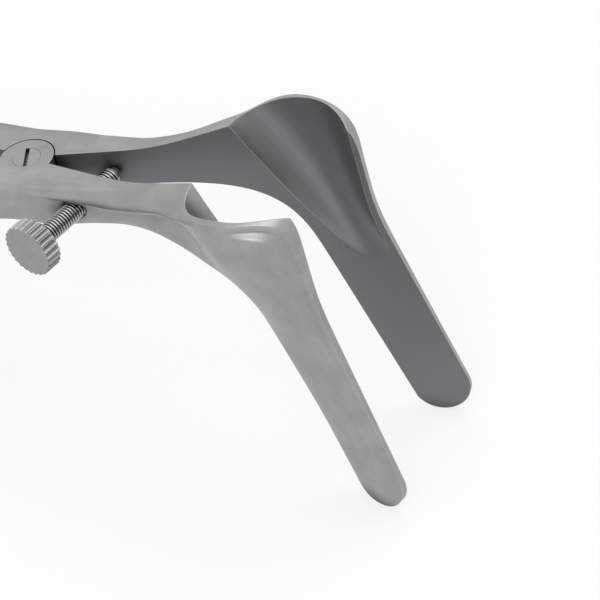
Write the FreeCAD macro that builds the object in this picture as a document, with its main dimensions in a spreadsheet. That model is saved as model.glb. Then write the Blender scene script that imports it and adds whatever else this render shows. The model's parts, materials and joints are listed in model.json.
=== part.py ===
import FreeCAD, Part
import os
import Sketcher
from math import atan, cos, degrees, hypot, pi, radians, sin, sqrt, tan

# Nasal septum speculum: two crossed-lap arms with scooped blades, a set screw and leaf springs.
# Each arm is drawn closed, with the pivot axis on Z through the top of the joint, the blades
# towards +X and down, and the mating plane at Y = 0. Placements then open the arms, and stand
# the instrument on its two blade tips and its two handle ends.

os.makedirs("parts", exist_ok=True)
doc = FreeCAD.newDocument("NasalSpeculum")
Vector = FreeCAD.Vector
Rotation = FreeCAD.Rotation
Placement = FreeCAD.Placement
up = Vector(0, 0, 1)
origin = Vector(0, 0, 0)

# Driving dimensions, in millimetres and degrees

sizes = doc.addObject("Spreadsheet::Sheet", "Sizes")
drivingSizes = [
    ("opening_angle", 24.0, "angle between the two arms at rest"),
    ("mating_gap", 0.15, "each inner face stands this far off the mating plane"),
    ("bar_height", 6.15, "height of the arm at the joint"),
    ("bar_width", 5.85, "width of one arm in front of the joint"),
    ("bar_front", 9.0, "pivot axis to the end of the full-height bar"),
    ("bar_rounding", 0.7, "rounded outer edges of the bar and handle"),
    ("handle_inner_rounding", 0.4, "rounded inner edges of the handle"),
    ("lug_radius", 4.05, "round half-thickness lug of the lap joint"),
    ("lug_clearance", 0.2, "gap round each lug"),
    ("lap_clearance", 0.05, "gap between the two lap faces"),
    ("pivot_head_radius", 2.1, "pivot screw head"),
    ("pivot_head_height", 1.3, "pivot screw head"),
    ("pivot_shank_radius", 1.45, "pivot screw shank"),
    ("pivot_clearance", 0.05, "running fit of the pivot screw in the upper lug"),
    ("slot_width", 0.6, "screwdriver slots"),
    ("slot_depth", 0.6, "screwdriver slots"),
    ("handle_reach", 82.0, "pivot axis to the handle end, along X"),
    ("handle_spread", 29.2, "mating plane to the middle of the handle end"),
    ("handle_thickness", 3.5, "handle, across the grip"),
    ("handle_height", 9.8, "handle end, along the pivot axis"),
    ("handle_drop", 7.3, "joint top to the middle of the handle end"),
    ("handle_end_radius", 3.4, "rounded corners of the handle end"),
    ("grip_groove_radius", 0.6, "transverse grip grooves"),
    ("grip_groove_depth", 0.35, "transverse grip grooves"),
    ("grip_groove_pitch", 2.2, "transverse grip grooves"),
    ("neck_reach", 49.15, "pivot axis to the blade's front edge"),
    ("neck_rise", 4.3, "joint top to the blade's top edge"),
    ("neck_web", 2.3, "thickness of the neck under its ledge"),
    ("neck_ledge", 3.6, "mating plane to the crest of the ledge on the neck"),
    ("neck_crest", 1.1, "thickness of the neck at its top edge"),
    ("heel_thickness", 3.5, "thickness at the back of the bend"),
    ("heel_start", 18.0, "pivot axis to where the underside starts to bend"),
    ("heel_end_reach", 39.85, "pivot axis to the back edge under the bend"),
    ("heel_end_drop", 19.0, "joint top to the back edge under the bend"),
    ("blade_drop", 49.65, "joint top to the blade tip"),
    ("blade_front_lean", 12.0, "angle of the front edge off the pivot axis"),
    ("blade_front_break", 14.0, "joint top to where the front edge starts to lean"),
    ("blade_back_lean", 15.0, "angle of the back edge off the pivot axis"),
    ("blade_edge", 1.3, "thickness of the front edge at the top"),
    ("blade_tip_thickness", 0.85, "thickness at the tip"),
    ("blade_tip_crown", 0.45, "extra thickness along the middle of the blade at the tip"),
    ("scoop_depth", 6.6, "depth of the scooped channel at its open top"),
    ("scoop_wall", 1.3, "wall outside the scooped channel"),
    ("scoop_rim", 1.3, "flat rim in front of the channel"),
    ("scoop_width", 17.4, "width of the channel at its open top"),
    ("scoop_length", 27.5, "channel, from the top edge down to where it runs out"),
    ("rim_bead", 0.7, "bead on the outside of the channel's open top"),
    ("screw_reach", 11.37, "pivot axis to the set screw on the mating plane"),
    ("screw_drop", 3.5, "joint top to the set screw's axis"),
    ("screw_lean", 4.8, "set screw, off square to its arm"),
    ("screw_radius", 1.5, "set screw thread, outside"),
    ("screw_clearance", 0.05, "set screw in its hole"),
    ("screw_tip_radius", 1.0, "domed tip of the set screw"),
    ("screw_tip_gap", 0.1, "set screw tip to the other arm"),
    ("screw_length", 20.2, "set screw, knob face to tip"),
    ("knob_radius", 4.2, "knurled knob"),
    ("knob_thickness", 2.7, "knurled knob"),
    ("knob_flute_radius", 0.42, "flutes of the knob"),
    ("knob_socket_depth", 1.9, "socket of the knob on the stem's neck"),
    ("knob_neck_radius", 1.2, "neck of the stem inside the knob"),
    ("spring_thickness", 0.6, "leaf springs"),
    ("spring_width", 6.0, "leaf springs at their root"),
    ("spring_tip_width", 4.2, "leaf springs at their tip"),
    ("spring_root", 66.0, "pivot axis to the spring's screw, along X"),
    ("spring_meet", 34.0, "pivot axis to where the springs meet"),
    ("spring_tongue_width", 1.5, "tongue of one spring"),
    ("spring_fork_width", 2.1, "slot of the other spring"),
    ("spring_screw_head_radius", 2.1, "spring screw head"),
    ("spring_screw_head_height", 1.1, "spring screw head"),
    ("spring_screw_radius", 1.1, "spring screw shank"),
    ("spring_screw_length", 2.6, "spring screw, under its head"),
    ("seat_clearance", 0.02, "screws in their holes"),
]
for number, (alias, value, note) in enumerate(drivingSizes, start=1):
    sizes.set("A%d" % number, note)
    sizes.set("B%d" % number, str(value))
    sizes.setAlias("B%d" % number, alias)
doc.recompute()


def size(alias):
    return float(sizes.get(alias))


# General helpers

def smooth(t):
    """Ease from 0 to 1 while t goes from 0 to 1."""
    t = min(max(t, 0.0), 1.0)
    return t * t * (3 - 2 * t)


def through(t, knots):
    """Value at t on a smooth line through (t, value) knots."""
    for (t0, v0), (t1, v1) in zip(knots, knots[1:]):
        if t <= t1:
            return v0 + (v1 - v0) * smooth((t - t0) / (t1 - t0))
    return knots[-1][1]


def alongCurve(t, knots):
    """Value at t on an interpolating cubic through (t, value) knots."""
    curve = Part.BSplineCurve()
    curve.interpolate([Vector(a, b, 0) for a, b in knots])
    lower = curve.FirstParameter
    upper = curve.LastParameter
    for step in range(40):
        middle = (lower + upper) / 2
        if curve.value(middle).x < t:
            lower = middle
        else:
            upper = middle
    return curve.value((lower + upper) / 2).y


def blendMax(a, b):
    """The larger of two thicknesses, rounded where they meet."""
    power = 6
    return (max(a, 0.0) ** power + max(b, 0.0) ** power) ** (1.0 / power)


def spline(points):
    curve = Part.BSplineCurve()
    curve.interpolate(points)
    return curve.toShape()


def polygon(points):
    return Part.makePolygon(points + [points[0]])


def mirrored(shape):
    return shape.mirror(origin, Vector(0, 1, 0))


# Outline of the arm on the mating plane

gap = size("mating_gap")
barHeight = size("bar_height")
neckReach = size("neck_reach")
frontLean = tan(radians(size("blade_front_lean")))
backLean = tan(radians(size("blade_back_lean")))


def topEdge(x):
    """Height of the neck's top edge: flat at the joint, rising to the blade's top."""
    riseStart = size("heel_start") - 3.0
    riseEnd = neckReach - 10.0
    return size("neck_rise") * smooth((x - riseStart) / (riseEnd - riseStart))


def frontEdge(z):
    lean = frontLean * max(0.0, -size("blade_front_break") - z)
    return neckReach + lean


def backEdge(z):
    return size("heel_end_reach") + backLean * (-size("heel_end_drop") - z)


heelCurve = Part.BezierCurve()
heelEnd = Vector(size("heel_end_reach"), 0, -size("heel_end_drop"))
heelPull = size("heel_end_drop") * 0.46
heelCurve.setPoles([
    Vector(size("heel_start"), 0, -barHeight),
    Vector(heelEnd.x - 6.85, 0, -barHeight - 0.25),
    heelEnd + Vector(-backLean, 0, 1) * heelPull,
    heelEnd,
])


# The scooped channel: at each height a circular segment, cut into the inner face

scoopTop = size("neck_rise")
scoopFront = neckReach - size("scoop_rim")


def scoopArc(z):
    """Middle, half width and depth of the channel at height z."""
    run = (z + size("scoop_length") - scoopTop) / size("scoop_length")
    width = size("scoop_width") * max(run, 0.0) ** 0.8
    depth = size("scoop_depth") * max(run, 0.0) ** 1.25
    return scoopFront - width / 2, width / 2, depth


def scoopCircle(z):
    middle, half, depth = scoopArc(z)
    radius = (half * half + depth * depth) / (2 * depth)
    return middle, radius, radius - depth


def shellHeight(x, z):
    """Outer face of the wall round the channel, measured from the mating plane."""
    if scoopArc(z)[2] < 0.05:
        return 0.0
    middle, radius, sink = scoopCircle(z)
    reach = (radius + size("scoop_wall")) ** 2 - (x - middle) ** 2
    return sqrt(reach) - sink if reach > 0 else 0.0


# Sections of the neck and blade, from the bar round the bend to the tip

def neckStation(x):
    return Vector(x, 0, -barHeight - 0.5 * smooth((x - size("heel_start")) / 12.0)), Vector(x, 0, topEdge(x))


def topStation(t, x):
    return heelCurve.value(t), Vector(x, 0, topEdge(x))


def frontStation(t, z):
    return heelCurve.value(t), Vector(frontEdge(z), 0, z)


def bladeStation(backZ, frontZ):
    return Vector(backEdge(backZ), 0, backZ), Vector(frontEdge(frontZ), 0, frontZ)


bladeStart = size("heel_end_drop")
bladeEnd = size("blade_drop") + 1.5
barFront = size("bar_front")
stations = [
    (0.00, neckStation(barFront - 0.4)),
    (0.03, neckStation(barFront + 1.5)),
    (0.07, neckStation(barFront + 4.5)),
    (0.12, neckStation(barFront + 7.5)),
    (0.18, neckStation(barFront + 11.0)),
    (0.24, topStation(0.20, neckReach - 24.6)),
    (0.30, topStation(0.30, neckReach - 20.9)),
    (0.35, topStation(0.38, neckReach - 17.8)),
    (0.40, topStation(0.46, neckReach - 14.3)),
    (0.45, topStation(0.53, neckReach - 10.2)),
    (0.50, topStation(0.60, neckReach - 5.9)),
    (0.54, (heelCurve.value(0.68), Vector(neckReach - 1.7, 0, size("neck_rise") - 0.5))),
    (0.58, frontStation(0.76, size("neck_rise") - 3.4)),
    (0.63, frontStation(0.88, -5.0)),
    (0.68, frontStation(1.00, -11.0)),
    (0.73, bladeStation(-bladeStart - 4.5, -bladeStart)),
    (0.79, bladeStation(-bladeStart - 11.0, -bladeStart - 8.5)),
    (0.86, bladeStation(-bladeStart - 18.0, -bladeStart - 16.5)),
    (0.93, bladeStation(-bladeStart - 25.0, -bladeStart - 24.0)),
    (1.00, bladeStation(-bladeEnd, -bladeEnd + 0.5)),
]

backThickness = [
    (0.00, size("bar_width")),
    (0.12, size("neck_web") + 0.2),
    (0.18, size("neck_web")),
    (0.40, size("heel_thickness")),
    (0.50, size("heel_thickness")),
    (0.79, 1.4),
    (1.00, size("blade_tip_thickness")),
]
frontThickness = [
    (0.00, size("bar_width")),
    (0.12, size("neck_web") + 0.2),
    (0.18, size("neck_web")),
    (0.35, 2.4),
    (0.54, size("blade_edge")),
    (0.68, size("blade_edge")),
    (1.00, size("blade_tip_thickness")),
]
crown = [(0.00, 0.0), (0.30, 0.0), (0.60, 0.9), (1.00, size("blade_tip_crown"))]
ledgeRise = [
    (0.00, 0.0),
    (0.07, 1.35),
    (0.18, size("neck_ledge") - size("neck_web")),
    (0.30, 0.9),
    (0.40, size("rim_bead")),
    (0.45, size("rim_bead")),
    (0.54, 0.0),
    (1.00, 0.0),
]
crestFall = [
    (0.00, size("bar_rounding")),
    (0.07, 0.9),
    (0.18, size("neck_ledge") - size("neck_crest")),
    (0.24, size("neck_ledge") - size("neck_crest")),
    (0.35, 1.3),
    (0.50, 1.0),
    (0.58, 0.35),
    (1.00, 0.25),
]
rimFall = [(0.00, 0.0), (0.24, 0.0), (0.35, 1.4), (0.40, 1.9), (0.50, 1.1), (0.58, 0.0), (1.00, 0.0)]


def section(progress, back, front):
    """Closed wire across the arm: inner face, back edge, swelling outer face and front edge."""
    length = (front - back).Length
    downward = (back - front).normalize()
    fall = through(progress, rimFall)
    ledgeAt = fall + through(progress, [(0.0, 0.7), (0.12, 2.2), (0.5, 2.0), (0.6, 1.0), (1.0, 0.8)])
    coveEnd = ledgeAt + through(progress, [(0.0, 2.0), (0.5, 2.4), (0.6, 1.0), (1.0, 1.0)])
    distances = [length - (length - coveEnd) * step / 4.0 for step in range(5)]
    distances += [coveEnd + (ledgeAt - coveEnd) * step / 3.0 for step in range(1, 4)]
    distances += [ledgeAt + (fall - ledgeAt) * step / 3.0 for step in range(1, 4)]
    outer = []
    for distance in distances:
        place = front + downward * distance
        share = distance / length
        edge = through(progress, backThickness) * share + through(progress, frontThickness) * (1 - share)
        edge += through(progress, crown) * sin(pi * share)
        height = blendMax(edge, shellHeight(place.x, place.z))
        cove = (distance - ledgeAt) / (coveEnd - ledgeAt)
        height += through(progress, ledgeRise) * (1 - smooth(cove))
        if distance < ledgeAt:
            height -= through(progress, crestFall) * (1 - (distance - fall) / (ledgeAt - fall)) ** 2
        outer.append(Vector(place.x, height, place.z))
    inset = Vector(0, gap, 0)
    edges = [
        Part.makeLine(front + inset, back + inset),
        Part.makeLine(back + inset, outer[0]),
        spline(outer),
        Part.makeLine(outer[-1], front + inset),
    ]
    return Part.Wire(edges)


def tipCutter():
    """What lies outside the round blade tip."""
    meanLean = radians((size("blade_front_lean") + size("blade_back_lean")) / 2)
    drop = size("blade_drop")
    radius = (frontEdge(-drop) - backEdge(-drop)) / 2 * cos(meanLean)
    for step in range(4):
        middleZ = radius - drop
        radius = (frontEdge(middleZ) - backEdge(middleZ)) / 2 * cos(meanLean)
    middle = Vector((frontEdge(middleZ) + backEdge(middleZ)) / 2, -1, radius - drop)
    side = Vector(cos(meanLean), 0, sin(meanLean)) * (radius + 0.05)
    along = Vector(sin(meanLean), 0, -cos(meanLean))
    backPoint = middle - side
    frontPoint = middle + side
    arc = Part.Arc(backPoint, middle + along * radius, frontPoint).toShape()
    outside = Part.makePolygon([
        frontPoint,
        frontPoint + side * 2,
        frontPoint + side * 2 + along * radius * 3,
        backPoint - side * 2 + along * radius * 3,
        backPoint - side * 2,
        backPoint,
    ])
    face = Part.Face(Part.Wire([arc] + outside.Edges))
    return face.extrude(Vector(0, 2 + size("scoop_depth") * 2, 0)), middle, radius


def scoopCutter():
    """The channel as a loft of circular segments, open towards the mating plane."""
    wires = []
    lowest = scoopTop - size("scoop_length") * 0.97
    heights = [scoopTop + 3.0, scoopTop - 1.5, -4.0, -10.0, -15.0, -19.5, lowest]
    for z in heights:
        middle, radius, sink = scoopCircle(z)
        half = scoopArc(z)[1]
        depth = radius - sink
        left = Vector(middle - half, 0, z)
        right = Vector(middle + half, 0, z)
        arc = Part.Arc(left, Vector(middle, depth, z), right).toShape()
        away = Vector(0, -2, 0)
        rest = Part.makePolygon([right, right + away, left + away, left])
        wires.append(Part.Wire([arc] + rest.Edges))
    return Part.makeLoft(wires, True, False)


# Handle and joint block: the plan outline and the side outline, each extruded, share this solid

handleReach = size("handle_reach")
handleStretch = handleReach / 82.0


def handleMiddle(x):
    spread = size("handle_spread")
    return alongCurve(-x / handleReach, [(0.0, 3.55), (0.073, 6.0), (0.244, 12.6), (0.512, spread - 8.2),
                                      (0.78, spread - 2.3), (1.0, spread)])


def handleHalf(x):
    half = size("handle_thickness") / 2
    return alongCurve(-x / handleReach, [(0.0, 3.35), (0.073, 2.75), (0.244, half + 0.35), (0.512, half + 0.05),
                                      (1.0, half)])


def handleTop(x):
    drop = size("handle_drop") - size("handle_height") / 2
    return -drop * smooth((-x - 8.0) / (handleReach - 8.0))


def handleBottom(x):
    deep = size("handle_drop") + size("handle_height") / 2
    return -barHeight - (deep - barHeight) * smooth((-x - 8.0) / (handleReach * 0.9 - 8.0))


def handleBlank():
    places = [-6.0, -12.0, -20.0, -32.0, -44.0, -56.0, -68.0, -handleReach + 2.0]
    outerEdge = [Vector(barFront, size("bar_width"), 0), Vector(4.0, size("bar_width") + 0.45, 0)]
    outerEdge += [Vector(0, handleMiddle(0) + handleHalf(0), 0)]
    outerEdge += [Vector(x, handleMiddle(x) + handleHalf(x) * 1.03, 0) for x in places]
    rearCorner = Vector(-cos(radians(26)), sin(radians(26)), 0) * (size("lug_radius") + 0.1)
    innerEdge = [rearCorner]
    innerEdge += [Vector(x, handleMiddle(x) - handleHalf(x) * 1.03, 0) for x in places]
    endMiddle = Vector(-handleReach, handleMiddle(-handleReach), 0)
    arc = Part.Arc(outerEdge[-1], endMiddle, innerEdge[-1]).toShape()
    inner = spline(innerEdge)
    front = Part.makePolygon([rearCorner, Vector(0, gap, 0), Vector(barFront, gap, 0), outerEdge[0]])
    plan = Part.Face(Part.Wire([spline(outerEdge), arc, inner] + front.Edges))
    tall = 30.0
    planSolid = plan.translated(Vector(0, 0, -tall)).extrude(Vector(0, 0, tall + 5))

    sideTop = [Vector(x, 0, handleTop(x)) for x in (-8.0, -20.0, -34.0, -50.0, -66.0)]
    sideTop.append(Vector(-handleReach + size("handle_end_radius"), 0, handleTop(-handleReach)))
    sideBottom = [Vector(x, 0, handleBottom(x)) for x in (-8.0, -20.0, -34.0, -50.0, -66.0)]
    sideBottom.append(Vector(-handleReach + size("handle_end_radius"), 0, handleBottom(-handleReach)))
    round45 = size("handle_end_radius") * (1 - sqrt(0.5))
    topEnd = Vector(-handleReach, 0, handleTop(-handleReach) - size("handle_end_radius"))
    bottomEnd = Vector(-handleReach, 0, handleBottom(-handleReach) + size("handle_end_radius"))
    topArc = Part.Arc(sideTop[-1], Vector(-handleReach + round45, 0, handleTop(-handleReach) - round45), topEnd)
    bottomArc = Part.Arc(bottomEnd, Vector(-handleReach + round45, 0, handleBottom(-handleReach) + round45),
                         sideBottom[-1])
    sideFace = Part.Face(Part.Wire([
        Part.makeLine(Vector(barFront + 5, 0, 0), Vector(-8.0, 0, 0)),
        spline(sideTop),
        topArc.toShape(),
        Part.makeLine(topEnd, bottomEnd),
        bottomArc.toShape(),
        spline(list(reversed(sideBottom))),
        Part.makeLine(Vector(-8.0, 0, -barHeight), Vector(barFront + 5, 0, -barHeight)),
        Part.makeLine(Vector(barFront + 5, 0, -barHeight), Vector(barFront + 5, 0, 0)),
    ]))
    sideSolid = sideFace.translated(Vector(0, -5, 0)).extrude(Vector(0, 60, 0))
    return planSolid.common(sideSolid)



def bluntEdges(blank):
    """Rounds the long edges: the outer ones first, then the handle's inner ones."""
    outer = []
    for edge in blank.Edges:
        middle = edge.valueAt((edge.FirstParameter + edge.LastParameter) / 2)
        if edge.BoundBox.XLength > 10 and middle.y > handleMiddle(min(middle.x, 0.0)) + 1.0:
            outer.append(edge)
    rounded = blank.makeFillet(size("bar_rounding"), outer)
    inner = []
    for edge in rounded.Edges:
        middle = edge.valueAt((edge.FirstParameter + edge.LastParameter) / 2)
        if edge.Length > 0.6 * handleReach and middle.y < handleMiddle(middle.x) - 1.0:
            inner.append(edge)
    return rounded.makeFillet(size("handle_inner_rounding"), inner)


def gripGrooves():
    """Cutting rods along the outer face of the handle, square to it."""
    rods = []
    pitch = size("grip_groove_pitch")
    first = 0.54 * handleReach
    count = int((0.93 * handleReach - first) / pitch)
    for number in range(count):
        x = -first - number * pitch
        step = 0.1
        here = Vector(x, handleMiddle(x) + handleHalf(x) * 1.03, 0)
        there = Vector(x + step, handleMiddle(x + step) + handleHalf(x + step) * 1.03, 0)
        outward = up.cross(there - here).normalize()
        stand = size("grip_groove_radius") - size("grip_groove_depth")
        base = here + outward * stand + Vector(0, 0, -30)
        rods.append(Part.makeCylinder(size("grip_groove_radius"), 40, base, up))
    return Part.makeCompound(rods)


blank = bluntEdges(handleBlank())
sections = [section(progress, back, front) for progress, (back, front) in stations]
neckAndBlade = Part.makeLoft(sections, True, False).cut(tipCutter()[0])
forging = blank.fuse(neckAndBlade).cut(scoopCutter()).cut(gripGrooves())


# The two arms: shared forging, one half-height lug each, recess for the other's lug

halfOpening = size("opening_angle") / 2
lapMiddle = -barHeight / 2


def documentObject(kind, name, **values):
    item = doc.addObject(kind, name)
    for key, value in values.items():
        if isinstance(value, str):
            item.setExpression(key, value)
        else:
            setattr(item, key, value)
    return item


def rod(name, radius, height, place):
    """Cylinder whose radius and height follow the sheet."""
    rodItem = doc.addObject("Part::Cylinder", name)
    rodItem.setExpression("Radius", radius)
    rodItem.setExpression("Height", height)
    rodItem.Placement = place
    return rodItem


def fused(name, pieces):
    item = doc.addObject("Part::MultiFuse", name)
    item.Shapes = pieces
    return item


def cutAway(name, base, tools):
    if len(tools) > 1:
        tool = fused(name + "_tools", tools)
    else:
        tool = tools[0]
    item = doc.addObject("Part::Cut", name)
    item.Base = base
    item.Tool = tool
    return item


def at(x, y, z, rotation=Rotation()):
    return Placement(Vector(x, y, z), rotation)


def forgingObject(name, shape):
    item = doc.addObject("Part::Feature", name)
    item.Shape = shape
    return item


def innerFace(x):
    """Handle's inner face, as height off the mating plane."""
    return handleMiddle(x) - handleHalf(x) * 1.03


def innerNormal(x):
    step = 0.05
    run = Vector(2 * step, innerFace(x + step) - innerFace(x - step), 0)
    return up.cross(run).normalize() * -1


# Leaf springs, drawn in the closed frame of the plain arm

springRoot = -size("spring_root")
springHalf = size("spring_thickness") / 2
meetPlace = Rotation(up, -halfOpening).multVec(Vector(-size("spring_meet"), 0, 0))


def springDrop(x):
    """Middle of the leaf along the pivot axis."""
    rootDrop = (handleTop(springRoot) + handleBottom(springRoot)) / 2
    share = smooth((x - springRoot) / (meetPlace.x - springRoot))
    return rootDrop + (-0.75 * barHeight - rootDrop) * share


def springMiddle(x):
    clear = size("seat_clearance") + springHalf
    free = max(0.0, x - springRoot - 5.0) / (meetPlace.x - springRoot - 5.0)
    bow = innerFace(meetPlace.x) - clear - meetPlace.y
    return innerFace(x) - clear - bow * free ** 1.6


def leafSpring(tongue):
    """Leaf that lies on the handle at its root and bows in to the other leaf's tip."""
    start = springRoot - 4.5
    past = meetPlace.x + 0.7
    count = 9
    xs = [start + (past - start) * step / count for step in range(count + 1)]
    normals = []
    for x in xs:
        run = Vector(0.1, springMiddle(x + 0.05) - springMiddle(x - 0.05), 0)
        normals.append(up.cross(run).normalize())
    middle = [Vector(x, springMiddle(x), 0) for x in xs]
    outer = [place + normal * springHalf for place, normal in zip(middle, normals)]
    inner = [place - normal * springHalf for place, normal in zip(middle, normals)]
    plan = Part.Face(Part.Wire([
        spline(outer),
        Part.makeLine(outer[-1], inner[-1]),
        spline(list(reversed(inner))),
        Part.makeLine(inner[0], outer[0]),
    ]))
    planSolid = plan.translated(Vector(0, 0, -30)).extrude(Vector(0, 0, 40))
    rootHalf = size("spring_width") / 2
    tipHalf = size("spring_tip_width") / 2
    places = [start, springRoot + 5, (springRoot + meetPlace.x) / 2, meetPlace.x + 1.5]
    halves = [rootHalf, rootHalf, (rootHalf + tipHalf) / 2, tipHalf]
    above = [Vector(x, 0, springDrop(x) + half) for x, half in zip(places, halves)]
    below = [Vector(x, 0, springDrop(x) - half) for x, half in zip(places, halves)]
    side = Part.Face(Part.Wire([
        spline(above),
        Part.makeLine(above[-1], below[-1]),
        spline(list(reversed(below))),
        Part.makeLine(below[0], above[0]),
    ]))
    leaf = planSolid.common(side.translated(Vector(0, -20, 0)).extrude(Vector(0, 80, 0)))
    tipDrop = springDrop(meetPlace.x)
    if tongue:
        shoulder = meetPlace.x - 1.9
        half = size("spring_tongue_width") / 2
        for side in (-1, 1):
            corner = Vector(shoulder, -20, tipDrop + (half if side > 0 else -half - 10))
            leaf = leaf.cut(Part.makeBox(20, 80, 10, corner))
    else:
        half = size("spring_fork_width") / 2
        corner = Vector(meetPlace.x - 2.4, -20, tipDrop - half)
        leaf = leaf.cut(Part.makeBox(20, 80, 2 * half, corner))
    return leaf


springSeat = Vector(springRoot, springMiddle(springRoot), springDrop(springRoot))
springInward = innerNormal(springRoot)


def springScrewPlace():
    """Under the spring screw's head, with Z pointing into the handle."""
    base = springSeat + springInward * (springHalf + size("seat_clearance"))
    return Placement(base, Rotation(up, springInward * -1))


screwLean = radians(size("screw_lean"))
screwOnArm = Vector(size("screw_reach"), 0, -size("screw_drop"))
screwAlong = Vector(sin(screwLean), cos(screwLean), 0)
turnScrewArm = Rotation(up, -halfOpening)
turnPlainArm = Rotation(up, halfOpening)


def screwTipPlace():
    """Where the tip's dome stops short of the plain arm's inner face, in the open frame."""
    start = turnScrewArm.multVec(screwOnArm)
    along = turnScrewArm.multVec(screwAlong)
    normal = turnPlainArm.multVec(Vector(0, 1, 0))
    dome = size("screw_tip_radius")
    domeMiddle = (gap - size("screw_tip_gap") - dome - start * normal) / (along * normal)
    return start + along * (domeMiddle + dome), along


screwTip, screwDirection = screwTipPlace()
knobFace = screwTip - screwDirection * size("screw_length")


def armObject(name, upperLug):
    """One arm with its lug, recess and holes."""
    shape = mirrored(forging) if upperLug else forging
    forgingItem = forgingObject(name + "_forging", shape)
    lugHeight = "Sizes.bar_height / 2 - Sizes.lap_clearance / 2"
    lugBase = lapMiddle + size("lap_clearance") / 2 if upperLug else -barHeight
    lug = rod(name + "_lug", "Sizes.lug_radius", lugHeight, at(0, 0, lugBase))
    recessBase = -barHeight - 5 if upperLug else lapMiddle - size("lap_clearance") / 2
    recess = rod(name + "_recess", "Sizes.lug_radius + Sizes.lug_clearance",
                 "Sizes.bar_height / 2 + Sizes.lap_clearance / 2 + 5", at(0, 0, recessBase))
    opened = cutAway(name + "_opened", forgingItem, [recess])
    joined = fused(name + "_joined", [opened, lug])
    tools = []
    if upperLug:
        tools.append(rod(name + "_pivot_hole", "Sizes.pivot_shank_radius + Sizes.pivot_clearance",
                         "Sizes.bar_height + 2", at(0, 0, -barHeight - 1)))
        tools.append(rod(name + "_head_seat", "Sizes.pivot_head_radius + Sizes.pivot_clearance",
                         "Sizes.pivot_head_height + Sizes.pivot_clearance + 2",
                         at(0, 0, -size("pivot_head_height") - size("pivot_clearance"))))
        tools.append(rod(name + "_screw_hole", "Sizes.screw_radius + Sizes.screw_clearance", "40",
                         Placement(screwOnArm - screwAlong * 20, Rotation(up, screwAlong))))
    else:
        tools.append(rod(name + "_pivot_hole", "Sizes.pivot_shank_radius + Sizes.seat_clearance",
                         "Sizes.bar_height + 2", at(0, 0, -barHeight - 1)))
    seat = springScrewPlace()
    if upperLug:
        base = Vector(seat.Base.x, -seat.Base.y, seat.Base.z)
        along = Vector(-springInward.x, springInward.y, -springInward.z)
        seat = Placement(base, Rotation(up, along))
    tools.append(rod(name + "_spring_hole", "Sizes.spring_screw_radius + Sizes.seat_clearance",
                     "Sizes.spring_screw_length + 0.1", seat))
    arm = cutAway(name, joined, tools)
    arm.Label = name
    return arm


def polygonSketch(body, plane, corners):
    """Closed outline in one of the body's own planes; every corner follows the sheet."""
    sketch = body.newObject("Sketcher::SketchObject", body.Name + "_outline")
    support = [item for item in body.Origin.OriginFeatures if item.Role == plane][0]
    sketch.AttachmentSupport = [(support, "")]
    sketch.MapMode = "FlatFace"
    doc.recompute()
    values = []
    for across, along in corners:
        values.append(Vector(sketch.evalExpression(across), sketch.evalExpression(along), 0))
    count = len(values)
    for number in range(count):
        sketch.addGeometry(Part.LineSegment(values[number], values[(number + 1) % count]))
    for number in range(count):
        sketch.addConstraint(Sketcher.Constraint("Coincident", number, 2, (number + 1) % count, 1))
    for number, (across, along) in enumerate(corners):
        for kind, axis, value, rule in (("DistanceX", -2, values[number].x, across),
                                        ("DistanceY", -1, values[number].y, along)):
            if value == 0:
                sketch.addConstraint(Sketcher.Constraint("PointOnObject", number, 1, axis))
            else:
                index = sketch.addConstraint(Sketcher.Constraint(kind, -1, 1, number, 1, value))
                sketch.setExpression("Constraints[%d]" % index, rule)
    doc.recompute()
    return sketch


def turned(name, corners):
    """Body made by turning a half outline about Z."""
    body = doc.addObject("PartDesign::Body", name)
    sketch = polygonSketch(body, "XZ_Plane", corners)
    revolution = body.newObject("PartDesign::Revolution", name + "_turned")
    revolution.Profile = sketch
    revolution.ReferenceAxis = (sketch, ["V_Axis"])
    revolution.Angle = 360
    doc.recompute()
    body.Label = name
    return body


def slotCut(body, rule):
    """Screwdriver slot across the end face at the given height."""
    sketch = polygonSketch(body, "XZ_Plane", [
        ("-Sizes.slot_width / 2", rule + " - Sizes.slot_depth"),
        ("Sizes.slot_width / 2", rule + " - Sizes.slot_depth"),
        ("Sizes.slot_width / 2", rule + " + 1"),
        ("-Sizes.slot_width / 2", rule + " + 1"),
    ])
    pocket = body.newObject("PartDesign::Pocket", body.Name + "_slot")
    pocket.Profile = sketch
    pocket.Type = "Length"
    pocket.Length = 20
    pocket.Midplane = True
    doc.recompute()
    return pocket


screwArm = armObject("screw_arm", True)
plainArm = armObject("plain_arm", False)
screwArm.Placement = Placement(origin, turnScrewArm)
plainArm.Placement = Placement(origin, turnPlainArm)


# Pivot screw: head flush with the upper lug, shank in the lower one

pivotScrew = turned("pivot_screw", [
    ("0", "0.2"),
    ("Sizes.pivot_shank_radius", "0.2"),
    ("Sizes.pivot_shank_radius", "Sizes.bar_height - Sizes.pivot_head_height"),
    ("Sizes.pivot_head_radius", "Sizes.bar_height - Sizes.pivot_head_height"),
    ("Sizes.pivot_head_radius", "Sizes.bar_height"),
    ("0", "Sizes.bar_height"),
])
slotCut(pivotScrew, "Sizes.bar_height")
pivotSlotTurn = Rotation(up, 99.0)
pivotScrew.Placement = Placement(Vector(0, 0, -barHeight), pivotSlotTurn)


# Set screw: stem with a plain neck inside the knob and a domed tip

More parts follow.
